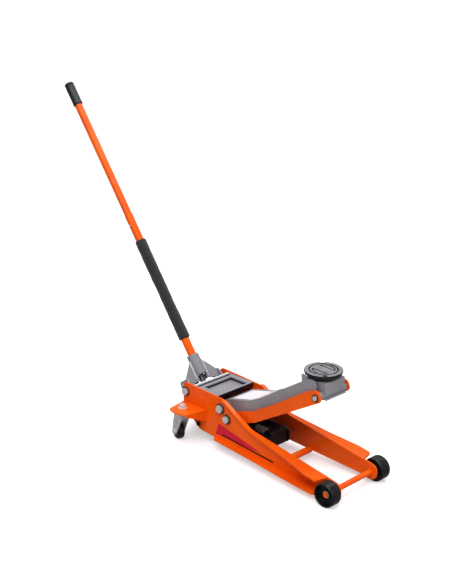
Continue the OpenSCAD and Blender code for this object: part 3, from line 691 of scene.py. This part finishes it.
def saddle_pad():
    """A black rubber pad: a dished disc with raised rings, a middle band and crescents, their tops grey as a
    painted sheen.
    """
    low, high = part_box("saddle_pad")
    centre = middle("saddle_pad")
    centre.z = 0
    r = (high[0] - low[0]) / 2
    neck = r - 8.2 * MM         # the part that sits in the cup
    top = high[2]
    under = top - 3.4 * MM      # the underside of the wide rim
    floor = top - 2.6 * MM      # the dish between the raised parts
    base = floor - 0.6 * MM     # the raised parts start inside the disc
    ring = r - 18.4 * MM        # the outer radius of the inner ring
    bm = bmesh.new()
    profile = [(low[2], 0), (low[2], neck), (under, neck), (under, r), (floor, r), (floor, 0)]
    turned(bm, centre, UP, profile, 96)
    for start in (-38, 142):
        arc_block(bm, centre, r - 14 * MM, r - 0.6 * MM, start, start + 166, base, top)
    for start in (311, 131):
        arc_block(bm, centre, r - 12 * MM, r - 7 * MM, start, start + 8, base, top)
    for start in (-88, 92):
        arc_block(bm, centre, ring - 6 * MM, ring, start, start + 176, base, top - 0.1 * MM)
    chord_block(bm, centre, ring - 5.5 * MM, -15 * MM, 15 * MM, base, top - 0.2 * MM)
    for side in (-1, 1):
        near, far = sorted((side * 19 * MM, side * (ring - 10.5 * MM)))
        chord_block(bm, centre, ring - 9.5 * MM, near, far, base, top - 0.3 * MM)
    # the raised parts' tops take the second material, a painted sheen
    o = new_piece("saddle_pad_rubber", bm, [pad_rubber, pad_top_painted_sheen], "saddle", "saddle_pad")
    soften(o, 0.45)


def plunger_springs():
    """Coil springs round the two plungers, each one wire."""
    low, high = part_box("plunger_springs")
    wire = 1.0 * MM             # the wire's radius
    end = wire + 0.5 * MM       # the end turns' middles stay this far inside the box
    turns = 5
    steps = 24 * turns
    coil = (high[0] - low[0]) / 2 - wire
    x = (low[0] + high[0]) / 2
    bm = bmesh.new()
    for side in (-1, 1):
        y = side * (high[1] - coil - wire)
        rings = []
        for i in range(steps + 1):
            a = 2 * math.pi * turns * i / steps
            z = low[2] + end + (high[2] - low[2] - 2 * end) * i / steps
            out = Vector((math.cos(a), math.sin(a), 0))
            ring = []
            for k in range(8):
                b = math.pi * k / 4
                surface = out * (coil + wire * math.cos(b)) + UP * wire * math.sin(b)
                ring.append(bm.verts.new(Vector((x, y, z)) + surface))
            rings.append(ring)
        for a, b in zip(rings, rings[1:]):
            skin(bm, a, b)
        bm.faces.new(rings[0])
        bm.faces.new(rings[-1])
    springs = new_piece("coil_springs", bm, [zinc], None, "plunger_springs")
    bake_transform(springs)


BEAD_FROM, BEAD_TO = 22 * MM, 88 * MM    # along the handle's socket from the tilt axis
BEAD_OUT = 26.5 * MM                     # out from the socket's axis to each side
BEAD_FORWARD = 3.5 * MM                  # forward of that axis
BEAD_STEPS = 46


def yoke_beads():
    """Weld beads where the yoke's socket meets its flared plate, rippled, and painted near-white as a
    painted highlight along the joint.
    """
    forward = Vector((HANDLE_UP.z, 0, -HANDLE_UP.x))
    profile = [(BEAD_FROM, 0)]
    for i in range(1, BEAD_STEPS):
        t = i / BEAD_STEPS
        ripple = 1.7 + 0.22 * math.sin(math.pi * i * 0.9)
        tapered = min(1.0, 6 * t, 6 * (1 - t)) ** 0.5
        profile.append((BEAD_FROM + (BEAD_TO - BEAD_FROM) * t, ripple * tapered * MM))
    profile.append((BEAD_TO, 0))
    bm = bmesh.new()
    for y in (-BEAD_OUT, BEAD_OUT):
        turned(bm, HANDLE_AT + Vector((0, y, 0)) + forward * BEAD_FORWARD, HANDLE_UP, profile, 10)
    new_piece("yoke_weld_beads", bm, [bead_painted_highlight], "yoke")


foam_grip()
yoke_beads()
end_cap()
saddle_pad()
plunger_springs()


# ---------- studio and camera ----------

FLOOR_SIZE = 90    # metres
FLOOR_PALE = (0.66, 0.62, 0.63)
FLOOR_BOUNCE = (0.55, 0.55, 0.55)
SWEEP_GLOW = 0.38
DOME_GLOW = 1.1
WORLD = 0.36    # brightness of the surroundings above the horizon
BELOW = 0.26    # and below it
SUN = 1.75
TOP = 46.0      # watts
FRONT = 14.0    # watts


def plane_floor(name, height, colour, glow):
    """A wide floor sheet of a plain pale finish."""
    bpy.ops.mesh.primitive_plane_add(size=FLOOR_SIZE, location=(0, 0, height))
    floor = bpy.context.object
    floor.name = name
    m, _, shader = material(name)
    shader.inputs["Base Color"].default_value = (*colour, 1)
    shader.inputs["Roughness"].default_value = 0.9
    shader.inputs["Specular IOR Level"].default_value = 0.0
    shader.inputs["Emission Color"].default_value = (1, 1, 1, 1)
    shader.inputs["Emission Strength"].default_value = glow
    floor.data.materials.append(m)
    return floor


def backdrop():
    """A white dome behind everything, which only the camera sees."""
    bm = bmesh.new()
    bmesh.ops.create_icosphere(bm, subdivisions=4, radius=0.49 * FLOOR_SIZE)
    mesh = bpy.data.meshes.new("backdrop")
    bm.to_mesh(mesh)
    bm.free()
    dome = bpy.data.objects.new("backdrop", mesh)
    m, _, shader = material("backdrop")
    shader.inputs["Base Color"].default_value = (0, 0, 0, 1)
    shader.inputs["Emission Color"].default_value = (1, 1, 1, 1)
    shader.inputs["Emission Strength"].default_value = DOME_GLOW
    mesh.materials.append(m)
    dome.visible_diffuse = False
    dome.visible_glossy = False
    dome.visible_shadow = False
    dome.visible_transmission = False
    bpy.context.scene.collection.objects.link(dome)


def lamp_at(name, at, to, size, watts):
    """A soft rectangular lamp, aimed at a point."""
    lamp = bpy.data.lights.new(name, "AREA")
    lamp.shape = "RECTANGLE"
    lamp.size, lamp.size_y = size
    lamp.energy = watts
    o = bpy.data.objects.new(name, lamp)
    o.location = at
    o.rotation_euler = (Vector(to) - Vector(at)).to_track_quat("-Z", "Y").to_euler()
    bpy.context.scene.collection.objects.link(o)


def studio():
    """A lit sweep that the camera sees, a duller floor that lights the object, and soft lamps."""
    sweep = plane_floor("floor", -0.2 * MM, FLOOR_PALE, SWEEP_GLOW)
    sweep.visible_diffuse = False
    sweep.visible_glossy = False
    sweep.visible_shadow = False
    bounce = plane_floor("bounce_floor", -0.4 * MM, FLOOR_BOUNCE, 0.0)
    bounce.visible_camera = False
    bounce.visible_glossy = False
    backdrop()

    world = bpy.data.worlds.new("studio")
    bpy.context.scene.world = world
    world.use_nodes = True
    back = world.node_tree.nodes["Background"]
    tree = world.node_tree
    direction = tree.nodes.new("ShaderNodeTexCoord")
    height = tree.nodes.new("ShaderNodeSeparateXYZ")
    link(tree, direction.outputs["Generated"], height.inputs[0])
    sky = spread(tree, height.outputs["Z"], -0.15, 0.25, BELOW, WORLD)
    link(tree, sky, back.inputs["Strength"])
    back.inputs["Color"].default_value = (1.0, 1.0, 1.0, 1)

    sun = bpy.data.lights.new("key", "SUN")
    sun.energy = SUN
    sun.angle = math.radians(40)
    o = bpy.data.objects.new("key", sun)
    o.rotation_euler = Vector((-0.35, 0.75, -1.25)).to_track_quat("-Z", "Y").to_euler()
    bpy.context.scene.collection.objects.link(o)
    lamp_at("top", (-0.3, 0.9, 2.9), (0.1, 0.0, 0.2), (3.0, 2.4), TOP)
    lamp_at("front", (3.0, 0.2, 1.6), (0.1, 0.0, 0.3), (1.4, 1.8), FRONT)


studio()

# The photograph's viewing angle, from a camera fitted to points all over the jack
camera_data = bpy.data.cameras.new("camera")
camera_data.sensor_fit = "HORIZONTAL"
camera_data.sensor_width = 36.0
camera_data.lens = 90.89
camera = bpy.data.objects.new("camera", camera_data)
camera.location = (2.5966, -2.4440, 1.6929)
camera.rotation_euler = (math.radians(71.259), 0.0, math.radians(45.497))
bpy.context.scene.collection.objects.link(camera)
bpy.context.scene.camera = camera

display = bpy.context.scene.view_settings
display.view_transform = "Standard"
display.look = "Medium High Contrast"
